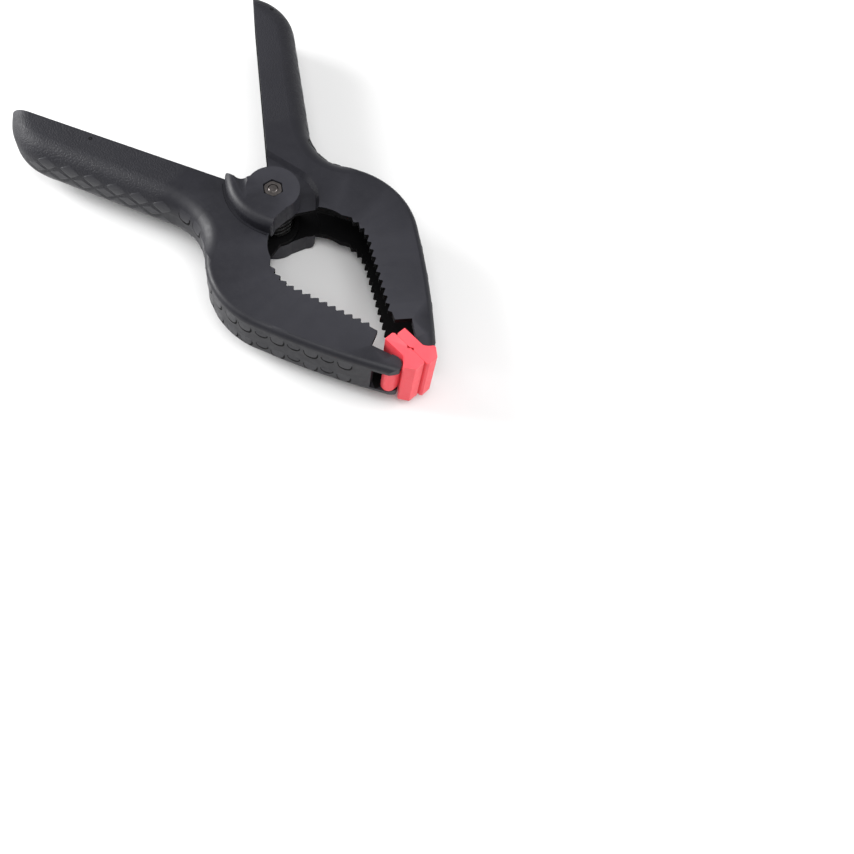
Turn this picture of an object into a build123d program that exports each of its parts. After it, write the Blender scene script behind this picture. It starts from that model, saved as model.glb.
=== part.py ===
"""Spring clamp, 9 inch class: two like moulded arms hinged on a bolt, a torsion spring
and two swivelling jaw pads.

Units are millimetres.  The bolt axis is x = y = 0, +X runs from the bolt to the jaws,
+Y towards the right arm, and z = 0 is the outer face of the rear cheek.  The two arms
come from one mould: an arm has an outside cheek on one face and a sunk ear on the other,
and the right arm is the left one turned over about the X axis.
"""
from build123d import *
import math
import os

os.makedirs("parts", exist_ok=True)

# heights, counted from the middle plane of the clamp
HALF_ARM = 12.4      # half thickness of each arm
HALF_CHEEK = 20.3    # half width over the two cheeks
HALF_PAD = 15.85     # half width of a pad
HALF_HOLLOW = 9.2    # half width of the channel inside an arm
HALF_FORK = 8.0      # half width of the fork at the end of a jaw
WALL = 3.2           # outer wall of the channel
Z_MID = HALF_CHEEK   # height of the middle plane above the rear cheek

# outline, on the +Y side
GRIP_SLOPE = 0.6216          # inner edge of a handle: y = -1.4 - 0.6216 x
GRIP_START = -1.4
NECK_C, NECK_R = (-11.88, 69.06), 31.0
SHOULDER_C, SHOULDER_R = (32.5, 12.05), 41.0
JAW_R = 420.0
JAW_JOIN_DEG = 27.43         # where the shoulder arc runs into the jaw arc, from +Y
EDGE_R = 3.0                 # rounding of the outer edges
GRIP_R = 9.4                 # rounding of the back of a handle

# bolt joint
EAR_R = 12.8
SWEEP_R = 22.1               # pocket round an ear, which the other arm's cheek turns in
CLEAR_R = 22.5               # room inside an arm for the other arm's ear
LUG = (7.5, 9.5)             # sunk ear, distance from the middle plane
FACET_DEG = 10.0             # bevel on the inner edge of a prong
POCKET_TAPER = 30.0          # slope of the pocket's wall, from the bolt's direction
SKIRT_C, SKIRT_R = (-2.3, -10.0), 29.6   # arc round the root of a cheek
SKIRT_ROLL = 4.2             # rounding of the root's edge
VALLEY_R = 3.6               # hollow between the root's roll and the round head
CHEEK_IN = 10.0              # inner face of a cheek, from the middle plane
BOLT_R = 2.5
BOLT_HOLE_R = 2.56
SLEEVE_R, SLEEVE_HOLE_R = 4.0, 4.05
HEX_AF, HEX_DEPTH = 9.0, 5.2
NUT_AF, NUT_H = 8.0, 4.7

# spring
WIRE_R, COIL_R, COIL_PITCH = 1.3, 9.2, 2.65   # wire and coil radii, rise per turn
LEG_DEG, LEG_LEN = 36.0, 70.0

# teeth
TEETH, TOOTH_H = 13, 1.65

# pads
PIN_C = (104.5, 10.6)
PIN_R, PIN_HOLE_R, PIN_HALF = 1.5, 1.55, 11.2
KNUCKLE_R, KNUCKLE_HALF = 3.7, 7.7
PAD_TILT = 5.0               # both pads rest turned this much about their pins

# the back of a handle is a line that leaves the neck arc and runs into the hook arc
HOOK_R, HOOK_FROM_DEG, GRIP_RUN = 27.0, -32.6, 67.3
GRIP_DEG = 29.87


def on_circle(centre, radius, degrees):
    """Point on a circle, the angle counted from +Y towards +X."""
    a = math.radians(degrees)
    return (centre[0] + radius * math.sin(a), centre[1] + radius * math.cos(a))


def inner_edge(x):
    return GRIP_START - GRIP_SLOPE * x


def inner_tangent():
    """Ends of the straight run between the neck arc and the shoulder arc."""
    dx = SHOULDER_C[0] - NECK_C[0]
    dy = SHOULDER_C[1] - NECK_C[1]
    dist = math.hypot(dx, dy)
    along = math.atan2(dy, dx)
    lean = math.acos((NECK_R + SHOULDER_R) / dist)
    turn = along - lean
    first = (NECK_C[0] + NECK_R * math.cos(turn), NECK_C[1] + NECK_R * math.sin(turn))
    last = (SHOULDER_C[0] - SHOULDER_R * math.cos(turn), SHOULDER_C[1] - SHOULDER_R * math.sin(turn))
    if first[0] > last[0] or first[1] > last[1]:
        turn = along + lean
        first = (NECK_C[0] + NECK_R * math.cos(turn), NECK_C[1] + NECK_R * math.sin(turn))
        last = (SHOULDER_C[0] - SHOULDER_R * math.cos(turn), SHOULDER_C[1] - SHOULDER_R * math.sin(turn))
    return first, last


JAW_C = on_circle(SHOULDER_C, SHOULDER_R - JAW_R, JAW_JOIN_DEG)


def hook_centre():
    """Centre of the hook arc, set so that the handle's back is tangent to neck and hook."""
    g = math.radians(GRIP_DEG)
    touch = (NECK_C[0] - NECK_R * math.sin(g), NECK_C[1] - NECK_R * math.cos(g))
    end = (touch[0] - GRIP_RUN * math.cos(g), touch[1] + GRIP_RUN * math.sin(g))
    return (end[0] - HOOK_R * math.sin(g), end[1] - HOOK_R * math.cos(g))


HOOK_C = hook_centre()


def handle_tip():
    """Where the line that leaves the hook arc meets the inner edge."""
    px, py = on_circle(HOOK_C, HOOK_R, HOOK_FROM_DEG)
    slope = -math.tan(math.radians(HOOK_FROM_DEG))
    x = (GRIP_START - py + slope * px) / (slope + GRIP_SLOPE)
    return (x, inner_edge(x))


def jaw_point(x, inset=0.0):
    """Point on the outer arc of the jaw, or that far inside it."""
    r = JAW_R - inset
    return (x, JAW_C[1] + math.sqrt(r * r - (x - JAW_C[0]) ** 2))


def tip_run(inset):
    """Straight run from well past the handle's tip to the hook arc."""
    px, py = on_circle(HOOK_C, HOOK_R - inset, HOOK_FROM_DEG)
    a = math.radians(HOOK_FROM_DEG)
    return Line((px - 20 * math.cos(a), py + 20 * math.sin(a)), (px, py))


def grip_run(inset):
    """Hook arc and the straight back of the handle, moved in by inset."""
    g = math.radians(GRIP_DEG)
    r = NECK_R + inset
    hook_in = on_circle(HOOK_C, HOOK_R - inset, HOOK_FROM_DEG)
    hook_top = on_circle(HOOK_C, HOOK_R - inset, 0.0)
    hook_out = on_circle(HOOK_C, HOOK_R - inset, GRIP_DEG)
    neck_in = (NECK_C[0] - r * math.sin(g), NECK_C[1] - r * math.cos(g))
    return [ThreePointArc(hook_in, hook_top, hook_out), Line(hook_out, neck_in)]


def body_run(inset, end_x):
    """Neck, shoulder and jaw, moved in by inset."""
    g = math.radians(GRIP_DEG)
    r = NECK_R + inset
    first, last = inner_tangent()
    ux, uy = last[0] - first[0], last[1] - first[1]
    n = math.hypot(ux, uy)
    px, py = uy / n * inset, -ux / n * inset
    neck_in = (NECK_C[0] - r * math.sin(g), NECK_C[1] - r * math.cos(g))
    neck_mid = (NECK_C[0], NECK_C[1] - r)
    neck_out = (first[0] + px, first[1] + py)
    top_in = (last[0] + px, last[1] + py)
    top_mid = (SHOULDER_C[0], SHOULDER_C[1] + SHOULDER_R - inset)
    top_out = on_circle(SHOULDER_C, SHOULDER_R - inset, JAW_JOIN_DEG)
    middle = jaw_point((top_out[0] + end_x) / 2, inset)
    return [
        ThreePointArc(neck_in, neck_mid, neck_out),
        Line(neck_out, top_in),
        ThreePointArc(top_in, top_mid, top_out),
        ThreePointArc(top_out, middle, jaw_point(end_x, inset)),
    ]


def tooth_edges():
    """Gripping teeth from the jaw's end back to the throat: steep towards the tip, round roots."""
    run = Wire([
        Line((83.4, 6.6), (47.0, 23.0)).edge(),
        ThreePointArc((47.0, 23.0), (39.0, 25.1), (30.4, 24.0)).edge(),
    ])

    def point(step, height):
        u = min(max(step / TEETH, 0.0), 1.0)
        at, way = run @ u, run % u
        return (at.X - abs(way.Y) * height, at.Y - abs(way.X) * height)

    edges = []
    last = point(0, 0.0)
    for i in range(TEETH):
        foot = point(i + 0.12, 0.5 * TOOTH_H)
        if i:
            edges.append(ThreePointArc(last, point(i, 0.0), foot))
        else:
            edges.append(Line(last, foot))
        crest = point(i + 0.24, TOOTH_H)
        blunt = point(i + 0.34, 0.98 * TOOTH_H)
        last = point(i + 0.8, 0.18 * TOOTH_H)
        edges.append(Polyline(foot, crest, blunt, last))
    edges.append(Line(last, point(TEETH, 0.0)))
    return edges


def arm_face():
    edges = [Line(handle_tip(), on_circle(HOOK_C, HOOK_R, HOOK_FROM_DEG))]
    edges += grip_run(0.0) + body_run(0.0, 107.0)
    edges.append(ThreePointArc(jaw_point(107.0), (108.5, 10.9), (109.0, 9.6)))
    edges.append(ThreePointArc((109.0, 9.6), (106.1, 6.3), (102.4, 6.5)))
    edges.append(Line((102.4, 6.5), (91.5, 12.0)))
    edges.append(Line((91.5, 12.0), (87.3, 5.1)))
    teeth = tooth_edges()
    first, last = teeth[0] @ 0, teeth[-1] @ 1
    edges.append(Line((87.3, 5.1), (first.X, first.Y)))
    edges += teeth
    edges.append(Line((last.X, last.Y), (26.5, 21.0)))
    edges.append(ThreePointArc((26.5, 21.0), (19.0, 17.3), (15.0, 13.0)))
    edges.append(Line((15.0, 13.0), (10.0, 0.0)))
    edges.append(Line((10.0, 0.0), (0.0, inner_edge(0.0))))
    edges.append(Line((0.0, inner_edge(0.0)), handle_tip()))
    return make_face(Curve() + edges)


def slab(face, low, high):
    """Solid of a flat outline between two heights."""
    return Pos(0, 0, low) * extrude(face, high - low)


def rounded_stock(edges, corners, radius):
    """Slab behind a run of back edges, its two long edges rounded."""
    first = edges[0] @ 0
    last = edges[-1] @ 1
    closing = Polyline((last.X, last.Y), *corners, (first.X, first.Y))
    stock = slab(make_face(Curve() + edges + [closing]), -HALF_ARM, HALF_ARM)
    picked = []
    for e in stock.edges():
        for b in edges:
            gap = (e @ 0.5) - (b @ 0.5)
            if abs(abs(gap.Z) - HALF_ARM) < 0.01 and math.hypot(gap.X, gap.Y) < 0.05:
                picked.append(e)
    return fillet(picked, radius)


def grip_edges(inset):
    """Back of the handle, then a tighter turn that leaves the arm behind the neck."""
    run = [tip_run(inset)] + grip_run(inset)
    g = math.radians(GRIP_DEG)
    r = NECK_R + inset
    start = run[-1] @ 1
    low = (NECK_C[0], NECK_C[1] - r)
    mid = (NECK_C[0] - r * math.sin(g / 2), NECK_C[1] - r * math.cos(g / 2))
    turn = 17.0 + inset
    centre = (low[0], low[1] + turn)
    run.append(ThreePointArc((start.X, start.Y), mid, low))
    run.append(ThreePointArc(low, on_circle(centre, -turn, -45.0), (centre[0] + turn, centre[1])))
    run.append(Line((centre[0] + turn, centre[1]), (centre[0] + turn, 90.0)))
    return run


def channel_face():
    """Inside of an arm, open along its inner edge."""
    edges = grip_run(WALL) + body_run(WALL, 92.0)
    low = edges[0] @ 0
    end = edges[-1] @ 1
    edges.append(Polyline((end.X, end.Y), (92, -2), (0, -14), (-95, 45), (low.X, low.Y)))
    return make_face(Curve() + edges)


def fork_face():
    """Gap between the prongs: open at the end, shut by the outer wall up to x = 101."""
    inside = jaw_point(98.8, WALL)
    near = jaw_point(88, WALL)
    return make_face(Polyline((88, -2), near, inside, (102, 22), (116, 22), (116, -2), (88, -2)))


def prong_facet():
    """What a shallow bevel takes off a prong's face, along its inner edge."""
    lean = math.radians(FACET_DEG)
    along = Vector(9.6, -0.55, 0).normalized()
    across = Vector(-along.Y, along.X, 0)
    up = Vector(0, 0, math.cos(lean)) - across * math.sin(lean)
    seat = Plane(origin=(91.6, 12.2, HALF_ARM), x_dir=along, z_dir=up)
    return seat * Box(9.6, 9.0, 4.0, align=(Align.MIN, Align.MAX, Align.MIN))


def arm_blank():
    """Hollow arm without its hinge."""
    body = [tip_run(0.0)] + grip_run(0.0) + body_run(0.0, 112.0)
    arm = slab(arm_face(), -HALF_ARM, HALF_ARM)
    arm &= rounded_stock(body, [(112, -30), (-140, -30)], EDGE_R)
    arm &= rounded_stock(grip_edges(0.0), [(140, 90), (140, -30), (-140, -30)], GRIP_R)
    hollow = slab(channel_face(), -HALF_HOLLOW, HALF_HOLLOW)
    hollow &= rounded_stock(grip_edges(WALL), [(140, 90), (140, -30), (-140, -30)], GRIP_R - WALL)
    arm -= hollow
    arm -= slab(fork_face(), -HALF_FORK, HALF_FORK)
    facet = prong_facet()
    arm -= facet
    arm -= mirror(facet, about=Plane.XY)
    return arm


def skirt_face():
    """Root of a cheek, where it spreads into the arm."""
    return make_face(Curve() + [
        Line((0, 0), (-12.5, 0)),
        Line((-12.5, 0), (-11.9, 4.4)),
        ThreePointArc((-11.9, 4.4), (-13.6, 8.3), (-17.2, 11.3)),
        Line((-17.2, 11.3), (-20.4, 12.2)),
        ThreePointArc((-20.4, 12.2), (-20.9, 13.1), (-19.9, 13.7)),
        ThreePointArc((-19.9, 13.7), on_circle(SKIRT_C, SKIRT_R, 0.0), (14.6, 14.5)),
        ThreePointArc((14.6, 14.5), (15.9, 13.2), (15.7, 11.5)),
        Polyline((15.7, 11.5), (14.2, 9.1), (12.7, 1.0), (12.6, 0), (0, 0)),
    ])


def cheek():
    """Outside cheek: flat round head, and a root that rolls over into the arm."""
    thick = HALF_CHEEK - CHEEK_IN
    dome = extrude(Circle(SKIRT_R + 0.02), thick)
    dome = fillet(dome.edges().group_by(Axis.Z)[-1], SKIRT_ROLL)
    root = extrude(skirt_face(), thick) & Pos(*SKIRT_C) * dome
    low, high = Vector(-19.5, 6.0, thick + 1.4), Vector(2.0, 16.0, thick + 4.4)
    finger = Plane(origin=low, z_dir=high - low) * Cylinder(
        VALLEY_R, (high - low).length, align=(Align.CENTER, Align.CENTER, Align.MIN))
    root -= finger
    whole = root + extrude(Circle(EAR_R), thick)
    return Pos(0, 0, CHEEK_IN) * whole


def skirt_line():
    """Fine line pressed into the arm's face just outside the root of a cheek."""
    ring = Circle(SKIRT_R + 1.5).face() - Circle(SKIRT_R + 1.1).face()
    ring = Pos(*SKIRT_C) * ring
    window = Pos(-2.4, 17) * Rectangle(36, 14)
    return slab(ring & window, HALF_ARM - 0.3, HALF_ARM + 0.3)


def pocket_face():
    """Floor of the pocket the cheeks turn in; its wall slopes outwards from here."""
    r = SWEEP_R - (HALF_ARM - LUG[1]) * math.tan(math.radians(POCKET_TAPER))
    start = on_circle((0, 0), r, -18.0)
    away = (start[0] - 30 * math.cos(math.radians(18.0)), start[1] - 30 * math.sin(math.radians(18.0)))
    end = on_circle((0, 0), r, 70.0)
    return make_face(Curve() + [
        Line(away, start),
        ThreePointArc(start, on_circle((0, 0), r, 26.0), end),
        Polyline(end, (r, -14), (-30, -14), away),
    ])


def arm():
    """One arm on the +Y side: outside cheek in front, sunk ear behind."""
    body = arm_blank()
    body -= slab(Circle(CLEAR_R).face(), 0, CHEEK_IN)
    body -= skirt_line()
    body += cheek()
    web = make_face(Curve() + [
        Line((-34, 20.4), (-22, 26.4)),
        ThreePointArc((-22, 26.4), (4, 27.0), (27, 17)),
        Polyline((27, 17), (12, 0), (0, -1), (-34, 20.4)),
    ])
    body += slab(web & arm_face(), -HALF_HOLLOW - 0.3, -LUG[0])
    body += slab(Circle(EAR_R - 0.3).face(), -LUG[1], -LUG[0])
    pocket = Pos(0, 0, LUG[1]) * extrude(pocket_face(), HALF_ARM - LUG[1], taper=-POCKET_TAPER)
    body -= mirror(pocket, about=Plane.XY)
    body -= Pos(0, 0, 15) * Cylinder(BOLT_HOLE_R, 30)
    body -= Pos(0, 0, -15) * Cylinder(SLEEVE_HOLE_R, 30)
    hexagon_hole = RegularPolygon(HEX_AF / math.sqrt(3), 6, rotation=30).face()
    body -= slab(hexagon_hole, HALF_CHEEK - HEX_DEPTH, HALF_CHEEK + 1)
    body -= Pos(PIN_C[0], PIN_C[1], 0) * Cylinder(PIN_R, 2 * PIN_HALF)
    return body


def pad():
    """Jaw pad on the +Y side, square to the gripping plane."""
    px, py = PIN_C
    outline = make_face(Curve() + [
        Polyline((px - 10.2, 5.3), (px - 10.2, 0.9), (px - 9.3, 0.1), (px - 1.25, 0.1),
                 (px, 1.2), (px + 1.25, 0.1), (px + 9.7, 0.1), (px + 10.6, 0.9),
                 (px + 10.4, 6.0), (px + 6.7, 8.8)),
        ThreePointArc((px + 6.7, 8.8), (px + 5.8, 9.1), (px + 4.9, 8.6)),
        ThreePointArc((px + 4.9, 8.6), (px + 3.7, 6.9), (px + 1.6, 5.3)),
        Line((px + 1.6, 5.3), (px - 10.2, 5.3)),
    ])
    body = slab(outline, -HALF_PAD, HALF_PAD)
    body -= Pos(px, py, 0) * Cylinder(5.2, 2 * HALF_PAD + 2)
    stem = Pos(px, 7.5) * Rectangle(2 * KNUCKLE_R, 6.2)
    body += slab(stem.face(), -KNUCKLE_HALF, KNUCKLE_HALF)
    body += Pos(px, py, 0) * Cylinder(KNUCKLE_R, 2 * KNUCKLE_HALF)
    body -= Pos(px, py, 0) * Cylinder(PIN_HOLE_R, 60)
    return body


def pad_pin():
    pin = Cylinder(PIN_R, 2 * PIN_HALF)
    return Pos(PIN_C[0], PIN_C[1], 0) * chamfer(pin.edges(), 0.3)


def hexagon(across_flats, height):
    """Hexagonal prism with its corners pointing along Y, both ends broken by a cone."""
    prism = extrude(RegularPolygon(across_flats / math.sqrt(3), 6, rotation=30), height)
    corner = across_flats / math.sqrt(3)
    cone = Cylinder(corner, height, align=(Align.CENTER, Align.CENTER, Align.MIN))
    return prism & chamfer(cone.edges(), (corner - across_flats / 2) * 0.95, 0.35)


def bolt():
    """M5 bolt, head in the rear cheek, end level with the nut's outer face."""
    seat = HALF_CHEEK - HEX_DEPTH
    shank = Pos(0, 0, -seat) * extrude(Circle(BOLT_R), seat + 4.9 + seat)
    shank = chamfer(shank.edges().group_by(Axis.Z)[-1], 0.6)
    return Pos(0, 0, -seat - 3.6) * hexagon(NUT_AF, 3.6) + shank


def nut():
    seat = HALF_CHEEK - HEX_DEPTH
    return Pos(0, 0, seat) * (hexagon(NUT_AF, NUT_H) - Cylinder(BOLT_HOLE_R, 60))


def sleeve():
    """Tube on the bolt between the two cheeks."""
    tube = Cylinder(SLEEVE_R, 2 * CHEEK_IN - 0.1) - Cylinder(BOLT_HOLE_R, 60)
    return tube


def spring():
    """Torsion spring at rest: coil about the sleeve, one leg in each handle."""
    start_deg = LEG_DEG - 90.0
    turns = 3 + (180 - 2 * LEG_DEG) / 360.0
    height = turns * COIL_PITCH
    coil = Pos(0, 0, -height / 2) * Rot(0, 0, start_deg) * Helix(COIL_PITCH, height, COIL_R)
    low, high = coil @ 0, coil @ 1
    leg_out = low - (coil % 0) * LEG_LEN
    leg_in = high + (coil % 1) * LEG_LEN
    run = Wire([Line(leg_out, low).edge(), coil.edge(), Line(high, leg_in).edge()])
    section = Plane(origin=leg_out, z_dir=run % 0) * Circle(WIRE_R)
    return sweep(section, path=run)


def rest(shape):
    """Lift a piece from the middle plane to its height above the rear cheek."""
    return Pos(0, 0, Z_MID) * shape


def other_side(shape):
    return mirror(shape, about=Plane.XZ)


def tilted(shape, centre):
    """Turn a pad about its pin by its resting tilt."""
    return Pos(*centre) * Rot(0, 0, PAD_TILT) * Pos(-centre[0], -centre[1]) * shape


left_arm = other_side(arm())
left_pad = other_side(pad())
pieces = {
    "left_arm": left_arm,
    "right_arm": Rot(180, 0, 0) * left_arm,
    "pivot_bolt": bolt(),
    "pivot_nut": nut(),
    "spring_sleeve": sleeve(),
    "torsion_spring": spring(),
    "left_pad": tilted(left_pad, (PIN_C[0], -PIN_C[1])),
    "right_pad": tilted(Rot(180, 0, 0) * left_pad, PIN_C),
    "left_pad_pin": other_side(pad_pin()),
    "right_pad_pin": pad_pin(),
}

for name, piece in pieces.items():
    export_step(rest(piece), f"parts/{name}.step")
    print(name, round(piece.volume, 1), len(piece.solids()))
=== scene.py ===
"""Looks for the spring clamp: two moulded arms, red pads and the steel pivot parts.

Metres, in the frame of the CAD part: the bolt is the Z axis, +X runs to the jaws and
+Y is the right arm's side.
"""
import bpy
import bmesh
import math
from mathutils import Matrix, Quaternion, Vector
from mathutils.bvhtree import BVHTree


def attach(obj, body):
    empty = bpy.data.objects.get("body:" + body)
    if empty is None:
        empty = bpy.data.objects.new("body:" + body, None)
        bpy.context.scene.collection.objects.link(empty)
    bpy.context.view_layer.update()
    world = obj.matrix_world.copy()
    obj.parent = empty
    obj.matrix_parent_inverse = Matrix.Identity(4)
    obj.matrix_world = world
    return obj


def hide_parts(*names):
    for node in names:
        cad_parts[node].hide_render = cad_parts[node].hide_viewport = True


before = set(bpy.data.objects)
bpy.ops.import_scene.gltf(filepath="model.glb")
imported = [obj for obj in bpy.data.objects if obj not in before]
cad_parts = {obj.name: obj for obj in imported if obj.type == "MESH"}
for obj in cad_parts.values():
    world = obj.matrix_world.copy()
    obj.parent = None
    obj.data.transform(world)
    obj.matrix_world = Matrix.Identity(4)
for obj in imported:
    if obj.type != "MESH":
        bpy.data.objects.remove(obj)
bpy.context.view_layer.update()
MM = 0.001
Z_MID = 20.3 * MM
SIDES = ("left", "right")


# ---------------------------------------------------------------- materials
# The handles' grain begins where GRAIN_X times x plus GRAIN_Y times |y| reaches GRAIN_FROM, in metres.
GRAIN_X, GRAIN_Y = -0.90, 0.30
GRAIN_FROM, GRAIN_BLEND = 0.040, 0.004
FLAT = 0.5  # a flat surface's pointiness


class Shader:
    """A material and short ways to add nodes to it."""

    def __init__(self, name):
        self.mat = bpy.data.materials.new(name)
        self.mat.use_nodes = True
        self.nodes = self.mat.node_tree.nodes
        self.links = self.mat.node_tree.links
        self.bsdf = self.nodes["Principled BSDF"]
        self.place = self.nodes.new("ShaderNodeTexCoord").outputs["Object"]

    def link(self, source, target):
        self.links.new(source, target)

    def feed(self, socket, value):
        """Give a socket a number, a colour or another node's output."""
        if isinstance(value, (int, float)):
            socket.default_value = value
        elif isinstance(value, tuple):
            socket.default_value = (*value, 1)
        else:
            self.link(value, socket)

    def noise(self, scale, detail, stretch=None):
        n = self.nodes.new("ShaderNodeTexNoise")
        n.inputs["Scale"].default_value = scale
        n.inputs["Detail"].default_value = detail
        source = self.place
        if stretch:
            m = self.nodes.new("ShaderNodeMapping")
            m.inputs["Scale"].default_value = stretch
            self.link(self.place, m.inputs["Vector"])
            source = m.outputs["Vector"]
        self.link(source, n.inputs["Vector"])
        return n.outputs["Fac"]

    def voronoi(self, scale):
        n = self.nodes.new("ShaderNodeTexVoronoi")
        n.inputs["Scale"].default_value = scale
        self.link(self.place, n.inputs["Vector"])
        return n.outputs["Distance"]

    def ramp(self, source, stops):
        n = self.nodes.new("ShaderNodeValToRGB")
        elements = n.color_ramp.elements
        while len(elements) < len(stops):
            elements.new(0.5)
        for e, (pos, value) in zip(elements, stops):
            e.position = pos
            e.color = (*value, 1) if isinstance(value, tuple) else (value, value, value, 1)
        self.link(source, n.inputs["Fac"])
        return n.outputs["Color"]

    def mottle(self, scale, detail, low, high):
        """Soft noise that wanders between two greys or colours."""
        return self.ramp(self.noise(scale, detail), [(0.3, low), (0.7, high)])

    def math(self, operation, a, b):
        n = self.nodes.new("ShaderNodeMath")
        n.operation = operation
        for socket, value in zip(n.inputs, (a, b)):
            self.feed(socket, value)
        return n.outputs["Value"]

    def mix(self, factor, a, b):
        n = self.nodes.new("ShaderNodeMix")
        n.data_type = "RGBA"
        sockets = [s for s in n.inputs if s.enabled]
        for socket, value in zip(sockets, (factor, a, b)):
            self.feed(socket, value)
        return [s for s in n.outputs if s.enabled][0]

    def along_handle(self):
        """0 on the body and 1 on the handles."""
        split = self.nodes.new("ShaderNodeSeparateXYZ")
        self.link(self.place, split.inputs["Vector"])
        across = self.math("ABSOLUTE", split.outputs["Y"], 0.0)
        run = self.math("ADD", self.math("MULTIPLY", split.outputs["X"], GRAIN_X),
                        self.math("MULTIPLY", across, GRAIN_Y))
        spread = 10.0  # widens the run to suit the ramp
        return self.ramp(self.math("MULTIPLY", run, spread),
                         [(spread * GRAIN_FROM, 0.0), (spread * (GRAIN_FROM + GRAIN_BLEND), 1.0)])

    def edges(self, high):
        """Where the surface turns sharply outwards, from the mesh's own pointiness: the mask for the
        painted highlight along edges.
        """
        n = self.nodes.new("ShaderNodeNewGeometry")
        return self.ramp(n.outputs["Pointiness"], [(FLAT, 0.0), (high, 1.0)])

    def bump(self, layers):
        """Chain of bumps: (height socket, strength, distance in metres)."""
        normal = None
        for height, strength, distance in layers:
            n = self.nodes.new("ShaderNodeBump")
            n.inputs["Strength"].default_value = strength
            n.inputs["Distance"].default_value = distance
            self.link(height, n.inputs["Height"])
            if normal:
                self.link(normal, n.inputs["Normal"])
            normal = n.outputs["Normal"]
        self.link(normal, self.bsdf.inputs["Normal"])

    def set(self, **values):
        for key, value in values.items():
            self.feed(self.bsdf.inputs[key.replace("_", " ")], value)


def moulded(name):
    """Charcoal glass-filled nylon, with a pebbled grain on the handles."""
    s = Shader(name)
    tone = s.mottle(60, 5, (0.0060, 0.0060, 0.0092), (0.0090, 0.0090, 0.0128))
    speck = s.ramp(s.noise(900, 3), [(0.45, 0.0), (0.75, 1.0)])
    tone = s.mix(s.math("MULTIPLY", speck, 0.25), tone, (0.016, 0.016, 0.021))
    # Painted highlight: a lighter grey along the sharp outward edges.
    tone = s.mix(s.math("MULTIPLY", s.edges(0.62), 0.5), tone, (0.036, 0.036, 0.044))
    grip = s.along_handle()
    pebble = s.math("MULTIPLY", s.ramp(s.voronoi(1150), [(0.15, 0.0), (0.6, 1.0)]), grip)
    grain = s.math("MULTIPLY", s.noise(2600, 3), s.math("ADD", s.math("MULTIPLY", grip, 0.8), 0.2))
    rough = s.math("ADD", s.mottle(350, 4, 0.42, 0.52), s.math("MULTIPLY", grip, 0.10))
    s.set(Base_Color=tone, Roughness=rough, Specular_IOR_Level=0.30)
    s.bump([(s.noise(45, 2), 0.25, 0.0006), (pebble, 0.55, 0.00022), (grain, 0.3, 0.00008)])
    return s.mat


def smooth_nylon(name, low, high, rough, shine):
    """The same nylon without grain, in a lighter or a darker colour: painted highlight on raised scales
    and diamonds, or painted shade inside.
    """
    s = Shader(name)
    s.set(Base_Color=s.mottle(80, 4, low, high), Roughness=s.mottle(500, 4, rough, rough + 0.12),
          Specular_IOR_Level=shine)
    s.bump([(s.noise(120, 2), 0.2, 0.0004), (s.noise(2000, 3), 0.15, 0.00006)])
    return s.mat


def soft_plastic(name):
    """Coral red pad: soft matte plastic with faint flow marks."""
    s = Shader(name)
    tone = s.mottle(70, 4, (0.74, 0.052, 0.070), (0.80, 0.064, 0.085))
    # Painted highlight: a lighter coral along the pad's sharp outward edges.
    tone = s.mix(s.math("MULTIPLY", s.edges(0.6), 0.35), tone, (0.95, 0.16, 0.18))
    s.set(Base_Color=tone, Roughness=s.mottle(500, 4, 0.46, 0.6),
          Specular_IOR_Level=0.35, Subsurface_Weight=0.05)
    s.bsdf.inputs["Subsurface Radius"].default_value = (0.004, 0.001, 0.001)
    s.bump([(s.noise(90, 2), 0.2, 0.0004), (s.noise(2400, 3), 0.18, 0.00006)])
    return s.mat


def steel(name, tint, rough):
    """Plain steel with fine turning marks and a darker stain."""
    s = Shader(name)
    stain = s.ramp(s.noise(420, 5), [(0.4, 0.0), (0.7, 1.0)])
    tone = s.mix(s.math("MULTIPLY", stain, 0.6), tint, tuple(0.55 * c for c in tint))
    s.set(Base_Color=tone, Metallic=1.0, Roughness=s.mottle(800, 4, rough, rough + 0.18))
    s.bump([(s.noise(1500, 3, stretch=(1, 1, 6)), 0.25, 0.00005)])
    return s.mat


NYLON = moulded("nylon_charcoal")
# Raised scales and diamonds: the nylon painted lighter, a painted highlight on them.
NYLON_RAISED_LIT = smooth_nylon("nylon_raised_painted_highlight", (0.0110, 0.0110, 0.0150), (0.0145, 0.0145, 0.0190), 0.36, 0.38)
# Near-black nylon: painted shade in the hollows, the throat and under the scales' lips; also the dark ring
# of each gate scar.
NYLON_SHADE_AND_SCAR = smooth_nylon("nylon_painted_shade_and_scar", (0.0016, 0.0016, 0.0018), (0.0026, 0.0026, 0.0029), 0.66, 0.10)
PAD = soft_plastic("pad_coral")
STEEL = steel("steel_plain", (0.150, 0.136, 0.132), 0.26)
# Spring wire: blackened steel, made darker still as painted shade for the coil deep in the hinge.
SPRING_STEEL = steel("steel_spring", (0.016, 0.016, 0.016), 0.20)


def dress(node, material):
    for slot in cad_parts[node].material_slots:
        slot.material = material


for side in SIDES:
    dress(side + "_arm", NYLON)
    dress(side + "_pad", PAD)
    dress(side + "_pad_pin", STEEL)
for node in ("pivot_bolt", "pivot_nut", "spring_sleeve"):
    dress(node, STEEL)


# ---------------------------------------------------------------- outline of an arm
# Millimetres, on the +Y side, as the CAD part has it; mapped to each arm by to_arm().
GRIP_DEG = 29.87
NECK_C, NECK_R = (-11.88, 69.06), 31.0
SHOULDER_C, SHOULDER_R = (32.5, 12.05), 41.0
JAW_R, JAW_JOIN_DEG, JAW_RUN = 420.0, 27.43, 84.0
HALF_ARM, HALF_HOLLOW, CHEEK_IN, CLEAR_R = 12.4, 9.2, 10.0, 22.5
STEP = 0.25


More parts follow.
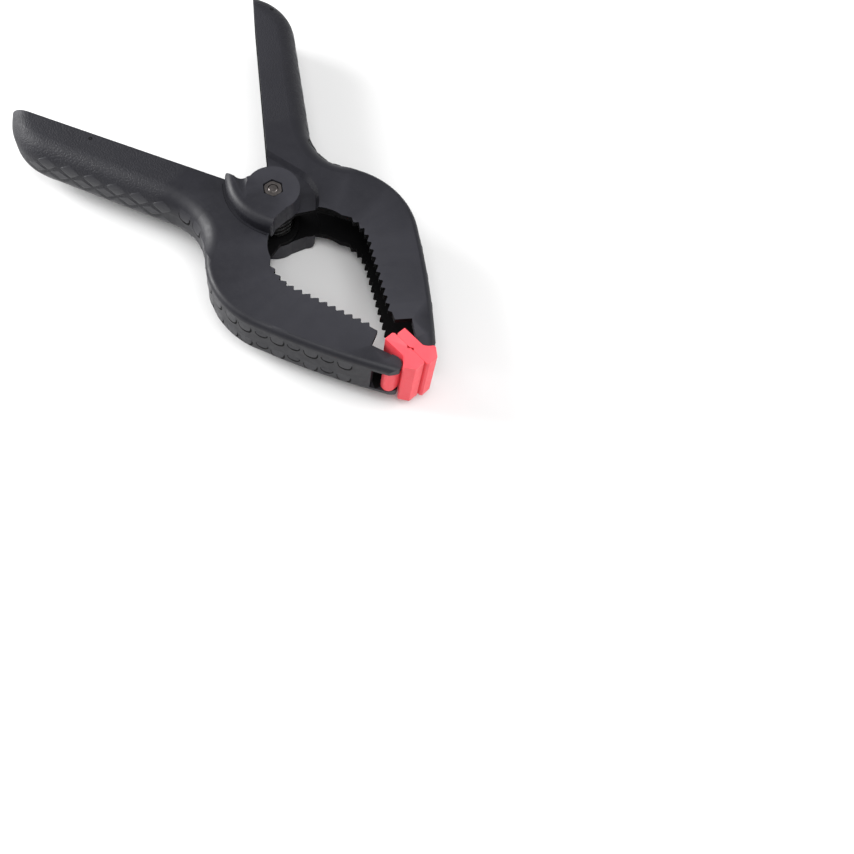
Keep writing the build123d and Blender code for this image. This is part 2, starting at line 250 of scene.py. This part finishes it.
def outline():
    """Points a STEP apart with their outward normals, from the handle's end of the neck to the jaw."""
    g = math.radians(GRIP_DEG)
    dx, dy = SHOULDER_C[0] - NECK_C[0], SHOULDER_C[1] - NECK_C[1]
    turn = math.atan2(dy, dx) - math.acos((NECK_R + SHOULDER_R) / math.hypot(dx, dy))
    points = []

    def arc(centre, radius, start, end, sign):
        count = max(2, int(abs(end - start) * radius / STEP))
        for i in range(count):
            a = start + (end - start) * i / count
            n = (math.cos(a), math.sin(a))
            points.append(((centre[0] + radius * n[0], centre[1] + radius * n[1]),
                           (sign * n[0], sign * n[1])))

    arc(NECK_C, NECK_R, -math.pi / 2 - g, turn, -1)
    first = (NECK_C[0] + NECK_R * math.cos(turn), NECK_C[1] + NECK_R * math.sin(turn))
    last = (SHOULDER_C[0] - SHOULDER_R * math.cos(turn), SHOULDER_C[1] - SHOULDER_R * math.sin(turn))
    count = int(math.dist(first, last) / STEP)
    for i in range(count):
        t = i / count
        points.append(((first[0] + (last[0] - first[0]) * t, first[1] + (last[1] - first[1]) * t),
                       (-math.cos(turn), -math.sin(turn))))
    join = math.pi / 2 - math.radians(JAW_JOIN_DEG)
    arc(SHOULDER_C, SHOULDER_R, math.pi + turn, join, 1)
    back = SHOULDER_R - JAW_R
    jaw_c = (SHOULDER_C[0] + back * math.cos(join), SHOULDER_C[1] + back * math.sin(join))
    arc(jaw_c, JAW_R, join, join - JAW_RUN / JAW_R, 1)
    return points


OUTLINE = outline()


def on_outline(s):
    """Point and outward normal at that length along the outline."""
    i = min(max(int(round(s / STEP)), 0), len(OUTLINE) - 1)
    return OUTLINE[i]


def to_arm(side, x, y, z):
    """From the +Y outline and a height as the left arm has it, to metres in the clamp's frame."""
    if side == "left":
        return Vector((x * MM, -y * MM, Z_MID + z * MM))
    return Vector((x * MM, y * MM, Z_MID - z * MM))


def surface_of(node):
    """Search tree of a CAD node's surface, for rays to meet."""
    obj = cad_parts[node]
    bm = bmesh.new()
    bm.from_mesh(obj.data)
    bm.transform(obj.matrix_world)
    tree = BVHTree.FromBMesh(bm)
    bm.free()
    return tree


# ---------------------------------------------------------------- raised details of the arms
STAND_OFF = 6.0
REACH, SINK = 30 * MM, 0.35 * MM


def ray_in(side, x, y, nx, ny, z):
    """Start and direction of a ray that meets the arm's back square to its outline."""
    start = to_arm(side, x + STAND_OFF * nx, y + STAND_OFF * ny, z)
    return start, (to_arm(side, x, y, z) - start).normalized()


def stamp(bm, tree, rays):
    """Closed low relief on a surface. rays is a grid of (start, direction, height in metres)."""
    top, low = [], []
    for row in rays:
        top_row, low_row = [], []
        for start, way, height in row:
            hit = tree.ray_cast(start, way, REACH)[0]
            if hit is None:
                return
            top_row.append(hit - way * height)
            low_row.append(hit + way * SINK)
        top.append(top_row)
        low.append(low_row)
    n, m = len(rays), len(rays[0])
    up = [[bm.verts.new(p) for p in row] for row in top]
    down = [[bm.verts.new(p) for p in row] for row in low]
    for i in range(n - 1):
        for j in range(m - 1):
            bm.faces.new((up[i][j], up[i + 1][j], up[i + 1][j + 1], up[i][j + 1]))
            bm.faces.new((down[i][j], down[i][j + 1], down[i + 1][j + 1], down[i + 1][j]))
    rim = [(i, 0) for i in range(n)] + [(n - 1, j) for j in range(1, m)]
    rim += [(i, m - 1) for i in range(n - 2, -1, -1)] + [(0, j) for j in range(m - 2, 0, -1)]
    for (a, b), (c, d) in zip(rim, rim[1:] + rim[:1]):
        bm.faces.new((up[a][b], down[a][b], down[c][d], up[c][d]))


def new_piece(bm, name, body, material):
    """Visible piece of that name, made from the bmesh, that rides on that body."""
    bmesh.ops.recalc_face_normals(bm, faces=bm.faces)
    mesh = bpy.data.meshes.new(name)
    bm.to_mesh(mesh)
    bm.free()
    mesh.materials.append(material)
    obj = bpy.data.objects.new(name, mesh)
    bpy.context.collection.objects.link(obj)
    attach(obj, body)
    return obj


def finish_relief(bm, name, side, material):
    obj = new_piece(bm, name, side, material)


# Scales: their places along the outline, and (width, bottom, top, rise of the lower rim) of the
# two in each place, the upper row of the left arm first. The jaw mixes small ones with large ones.
SCALES_AT = (9.2, 18.2, 27.2, 37.2, 50.2, 60.2, 70.2, 78.2, 86.7, 94.7, 102.7, 111.2, 119.2, 127.7)
LARGE_SCALES = ((6.3, 3.3, 8.4, 2.6), (6.3, -8.6, -3.4, 2.6))
SMALL_SCALES = ((5.5, 4.6, 6.8, 1.2), (5.5, -5.6, -3.2, 1.2))
SMALL_FROM = 75
SCALE_H, SCALE_EDGE, LIP_POWER = 0.4 * MM, 0.03, 2.4
SCALE_ACROSS, SCALE_DOWN = 12, 7
# Strip of painted shade under each lip, wider in the middle and on the left arm.
STRIP_H, STRIP_W, STRIP_TUCK, STRIP_UP = 0.04 * MM, 0.5, 0.05, 0.4
STRIP_WIDEN = {"left": 1.5, "right": 0.9}
STRIP_ACROSS = 16


def lip(a, bottom, rise):
    """Height of a scale's round lower rim; a runs from -1 to 1 across it."""
    return bottom + rise * (1 - math.sqrt(max(0.0, 1 - abs(a) ** LIP_POWER)))


def scale_rays(side, s, width, bottom, top, rise):
    """One fish scale: highest along its round lower rim, running out flush at its top."""
    rays = []
    for i in range(SCALE_ACROSS + 1):
        a = -1 + 2 * i / SCALE_ACROSS
        rim = lip(a, bottom, rise)
        (x, y), (nx, ny) = on_outline(s + a * width / 2)
        row = []
        for j in range(SCALE_DOWN + 1):
            z = rim + (top - rim) * j / SCALE_DOWN
            height = SCALE_H * max(SCALE_EDGE, (top - z) / (top - bottom))
            row.append((*ray_in(side, x, y, nx, ny, z), height))
        rays.append(row)
    return rays


def strip_rays(side, s, width, bottom, top, rise):
    """Painted shade under the lip of a scale: a thin dark sheet, a crescent that thins out up both sides.
    """
    half = width / 2
    upper = top - STRIP_UP * (top - bottom)
    curve = [(-half, upper), (-half, lip(-1, bottom, rise))]
    for i in range(1, STRIP_ACROSS):
        a = -1 + 2 * i / STRIP_ACROSS
        curve.append((half * a, lip(a, bottom, rise)))
    curve += [(half, lip(1, bottom, rise)), (half, upper)]
    rays = []
    for i, (u, z) in enumerate(curve):
        u0, z0 = curve[max(i - 1, 0)]
        u1, z1 = curve[min(i + 1, len(curve) - 1)]
        size = math.hypot(u1 - u0, z1 - z0)
        out = ((z1 - z0) / size, -(u1 - u0) / size)
        row = []
        for t in (-STRIP_TUCK, STRIP_W + STRIP_WIDEN[side] * max(0.0, 1 - (u / half) ** 2)):
            (x, y), (nx, ny) = on_outline(s + u + out[0] * t)
            row.append((*ray_in(side, x, y, nx, ny, z + out[1] * t), STRIP_H))
        rays.append(row)
    return rays


def scales(side, tree):
    bm, strips = bmesh.new(), bmesh.new()
    for i, s in enumerate(SCALES_AT):
        for shape in LARGE_SCALES if s < SMALL_FROM or i % 2 else SMALL_SCALES:
            stamp(bm, tree, scale_rays(side, s, *shape))
            stamp(strips, tree, strip_rays(side, s, *shape))
    finish_relief(bm, side + "_arm_scales", side, NYLON_RAISED_LIT)
    # The strips lie on the surface as painted shade under the lips.
    finish_relief(strips, side + "_arm_scale_painted_shade", side, NYLON_SHADE_AND_SCAR)


GATE_AT = {"left": (-78.8, -51.2), "right": (-101.5, 72.7)}
GATE_RADII, GATE_H, GATE_SIDES = (0.35, 1.0), 0.03 * MM, 16
GATE_START_Z = 60
MERGE = 0.005 * MM


def gate_mark(side, x, y, tree):
    """Round scar that the mould's gate leaves on a handle's front face."""
    bm = bmesh.new()
    rays = []
    for i in range(GATE_SIDES + 1):
        a = math.tau * i / GATE_SIDES
        row = []
        for r in GATE_RADII:
            start = Vector((x + r * math.cos(a), y + r * math.sin(a), GATE_START_Z)) * MM
            row.append((start, Vector((0, 0, -1)), GATE_H))
        rays.append(row)
    stamp(bm, tree, rays)
    bmesh.ops.remove_doubles(bm, verts=bm.verts, dist=MERGE)
    # the ring's two ends meet, which leaves one wall inside it
    walls = [f for f in bm.faces if all(len(e.link_faces) > 2 for e in f.edges)]
    bmesh.ops.delete(bm, geom=walls, context="FACES_ONLY")
    finish_relief(bm, side + "_arm_gate", side, NYLON_SHADE_AND_SCAR)


# Diamonds: half their length and width, the step between them, the middle row's and the leaning
# rows' first places along the handle, and how far the leaning rows turn round it.
DIAMOND_H, DIAMOND_HALF_L, DIAMOND_HALF_W = 0.2 * MM, 5.0, 3.1
DIAMOND_PITCH, DIAMOND_COUNT = 12.2, 6
MIDDLE_START, LEAN_START, LEAN_DEG = 9.5, 3.4, 48.0
DIAMOND_ALONG, DIAMOND_ACROSS = 10, 8
DIAMOND_POWER, DIAMOND_POINT = 0.9, 0.05
DIAMOND_STEEP, DIAMOND_EDGE = 4.0, 0.12
HANDLE_DEEP, DIAMOND_OFF, LEAN_RISE = 9.4, 18.0, 11.55


def diamond_rays(side, run, lean):
    """Rounded diamond on the back of a handle; lean turns it round the handle, in degrees.

    Each ray runs DIAMOND_OFF inwards, to about HANDLE_DEEP below the handle's back. w runs round
    the back, square to the rays.
    """
    g = math.radians(GRIP_DEG)
    along = (-math.cos(g), math.sin(g))
    out = (math.sin(g), math.cos(g))
    (px, py), _ = OUTLINE[0]
    c, s = math.cos(math.radians(lean)), math.sin(math.radians(lean))
    rays = []
    for i in range(DIAMOND_ALONG + 1):
        u = -1 + 2 * i / DIAMOND_ALONG
        t = run + DIAMOND_HALF_L * u
        x = px + along[0] * t
        y = py + along[1] * t
        half = DIAMOND_HALF_W * (1 - abs(u)) ** DIAMOND_POWER + DIAMOND_POINT
        row = []
        for j in range(DIAMOND_ACROSS + 1):
            v = -1 + 2 * j / DIAMOND_ACROSS
            w = half * v
            fall = max(abs(u), abs(v))
            height = DIAMOND_H * min(1.0, DIAMOND_STEEP * (1 - fall) + DIAMOND_EDGE)
            near = -HANDLE_DEEP + DIAMOND_OFF * c - w * s
            far = near - DIAMOND_OFF * c
            z = LEAN_RISE * s + w * c
            start = to_arm(side, x + out[0] * near, y + out[1] * near, z)
            goal = to_arm(side, x + out[0] * far, y + out[1] * far, z - DIAMOND_OFF * s)
            row.append((start, (goal - start).normalized(), height))
        rays.append(row)
    return rays


def diamonds(side, tree):
    bm = bmesh.new()
    for i in range(DIAMOND_COUNT):
        stamp(bm, tree, diamond_rays(side, MIDDLE_START + DIAMOND_PITCH * i, 0.0))
        for lean in (LEAN_DEG, -LEAN_DEG):
            stamp(bm, tree, diamond_rays(side, LEAN_START + DIAMOND_PITCH * i, lean))
    finish_relief(bm, side + "_arm_diamonds", side, NYLON_RAISED_LIT)


# Limits of the painted shade inside, in millimetres: the throat's walls, the hollow's end towards the
# handle's tip, how much of the wall at the outline keeps the plain nylon, and the number of points,
# 1 mm apart, that stand for the handle's back.
THROAT_X, THROAT_Y, THROAT_TILT = (14, 92), 27, 0.4
HOLLOW_END, WALL, HANDLE_POINTS = -88, 2.2, 69
FACE_MARGIN, CLEAR_MARGIN = 0.05, 0.1


def shade_inside(side):
    """The channel, the fork and the room round the hinge take painted shade: the near-black nylon."""
    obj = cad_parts[side + "_arm"]
    mesh = obj.data
    mesh.materials.append(NYLON_SHADE_AND_SCAR)
    inside = len(mesh.materials) - 1
    g = math.radians(GRIP_DEG)
    (px, py), _ = OUTLINE[0]
    edge = [p for p, _ in OUTLINE[::4]]
    edge += [(px - t * math.cos(g), py + t * math.sin(g)) for t in range(HANDLE_POINTS)]
    for poly in mesh.polygons:
        p = obj.matrix_world @ poly.center
        x, y, z = p.x / MM, abs(p.y) / MM, abs(p.z - Z_MID) / MM
        by_hinge = math.hypot(x, y) < CLEAR_R + CLEAR_MARGIN
        limit = (CHEEK_IN if by_hinge else HALF_HOLLOW) + FACE_MARGIN
        throat = (THROAT_X[0] < x < THROAT_X[1] and abs(poly.normal.z) < THROAT_TILT
                  and y < THROAT_Y and z < HALF_ARM)
        outward = z > HALF_HOLLOW and poly.normal.z * (p.z - Z_MID) > 0
        hollow = z < limit and x > HOLLOW_END and not outward
        if (throat or hollow) and min(math.dist((x, y), q) for q in edge) > WALL:
            poly.material_index = inside


EDGE_R, EDGE_DEG, WELD = 0.35 * MM, 38.0, 0.002 * MM


def soften(node):
    """Round the sharp edges of a moulded piece."""
    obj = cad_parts[node]
    weld = obj.modifiers.new("weld", "WELD")
    weld.merge_threshold = WELD
    bevel = obj.modifiers.new("edge", "BEVEL")
    bevel.width = EDGE_R
    bevel.segments = 2
    bevel.limit_method = "ANGLE"
    bevel.angle_limit = math.radians(EDGE_DEG)
    bevel.use_clamp_overlap = True
    even = obj.modifiers.new("even", "WEIGHTED_NORMAL")
    even.keep_sharp = False
    even.weight = 100


for side in SIDES:
    surface = surface_of(side + "_arm")
    scales(side, surface)
    diamonds(side, surface)
    shade_inside(side)
    gate_mark(side, *GATE_AT[side], surface)
    soften(side + "_pad")


# ---------------------------------------------------------------- spring
# The CAD spring is one rigid solid. Here its left leg rides on the left arm, with enough
# wire lapped along the coil to stay joined to it through the whole range of the hinge.
WIRE_R, COIL_R, COIL_PITCH = 1.3, 9.2, 2.65
LEG_DEG, LEG_LEN, LAP_DEG = 36.0, 70.0, 56.0
TURNS = 3 + (180 - 2 * LEG_DEG) / 360
LAP_THINNER = 0.03
WIRE_SIDES, COIL_STEPS, LAP_STEPS = 16, 160, 14


def coil_point(turns):
    """Point on the coil's centre line and its direction, that many turns from the low end."""
    a = math.radians(LEG_DEG - 90.0) + math.tau * turns
    point = Vector((COIL_R * math.cos(a), COIL_R * math.sin(a), COIL_PITCH * (turns - TURNS / 2)))
    way = Vector((-math.sin(a), math.cos(a), COIL_PITCH / (math.tau * COIL_R))).normalized()
    return point, way


def wire(name, body, points, radius):
    """Round closed wire along points given in millimetres from the middle plane."""
    bm = bmesh.new()
    rings = []
    for i, p in enumerate(points):
        way = (points[min(i + 1, len(points) - 1)] - points[max(i - 1, 0)]).normalized()
        out = way.cross(Vector((0, 0, 1))).normalized()
        up = out.cross(way)
        ring = []
        for k in range(WIRE_SIDES):
            a = math.tau * k / WIRE_SIDES
            spot = (p + (out * math.cos(a) + up * math.sin(a)) * radius) * MM
            ring.append(bm.verts.new(spot + Vector((0, 0, Z_MID))))
        rings.append(ring)
    for near, far in zip(rings, rings[1:]):
        for k in range(WIRE_SIDES):
            n = (k + 1) % WIRE_SIDES
            bm.faces.new((near[k], near[n], far[n], far[k])).smooth = True
    bm.faces.new(rings[0])
    bm.faces.new(rings[-1])
    obj = new_piece(bm, name, body, SPRING_STEEL)
    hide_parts("torsion_spring")


def spring():
    coil = [coil_point(TURNS * i / COIL_STEPS) for i in range(COIL_STEPS + 1)]
    end, way = coil[-1]
    wire("spring_coil", "right", [p for p, _ in coil] + [end + way * LEG_LEN], WIRE_R)
    start, way = coil[0]
    lap = [coil_point(LAP_DEG / 360 * i / LAP_STEPS)[0] for i in range(LAP_STEPS + 1)]
    wire("spring_left_leg", "left", [start - way * LEG_LEN] + lap, WIRE_R - LAP_THINNER)


spring()


# ---------------------------------------------------------------- stage
FLOOR_SIZE, FLOOR_Z = 6, -0.5 * MM
WORLD_STRENGTH = 0.50
# Name, place, side of the square and watts. Each one faces the bolt.
SOFTBOXES = (("key", (-0.72, -0.50, 0.42), 0.5, 14),
             ("top", (0.30, -0.10, 0.85), 0.7, 6),
             ("rim", (0.45, 0.60, 0.40), 0.4, 3))
CAMERA_AT = Vector((0.25289, -0.17205, 0.42877))
CAMERA_AIM = Vector((0.13479, -0.01309, Z_MID))
CAMERA_ROLL_DEG = 15.138
LENS, SENSOR = 42.155, 36.0


def stage():
    bpy.ops.mesh.primitive_plane_add(size=FLOOR_SIZE, location=(0, 0, FLOOR_Z))
    floor = bpy.context.object
    floor.name = "floor"
    s = Shader("floor")
    s.set(Base_Color=s.ramp(s.noise(3, 2), [(0.4, 0.71), (0.6, 0.73)]), Roughness=0.9)
    floor.data.materials.append(s.mat)
    world = bpy.data.worlds.new("studio")
    bpy.context.scene.world = world
    world.use_nodes = True
    world.node_tree.nodes["Background"].inputs["Color"].default_value = (1, 1, 1, 1)
    world.node_tree.nodes["Background"].inputs["Strength"].default_value = WORLD_STRENGTH
    bpy.context.scene.view_settings.view_transform = "Standard"


def softbox(name, place, size, watts):
    data = bpy.data.lights.new(name, "AREA")
    data.shape = "RECTANGLE"
    data.size = data.size_y = size
    data.energy = watts
    obj = bpy.data.objects.new(name, data)
    bpy.context.collection.objects.link(obj)
    obj.location = place
    obj.rotation_euler = (-Vector(place)).to_track_quat("-Z", "Y").to_euler()


def camera():
    """Camera at the photograph's viewing angle, rolled about its own line of sight."""
    data = bpy.data.cameras.new("camera")
    data.sensor_width = SENSOR
    data.lens = LENS
    data.clip_start = 0.01
    obj = bpy.data.objects.new("camera", data)
    bpy.context.collection.objects.link(obj)
    level = (CAMERA_AIM - CAMERA_AT).to_track_quat("-Z", "Y")
    obj.location = CAMERA_AT
    obj.rotation_euler = (level @ Quaternion((0, 0, 1), math.radians(CAMERA_ROLL_DEG))).to_euler()
    bpy.context.scene.camera = obj


stage()
for box in SOFTBOXES:
    softbox(*box)
camera()
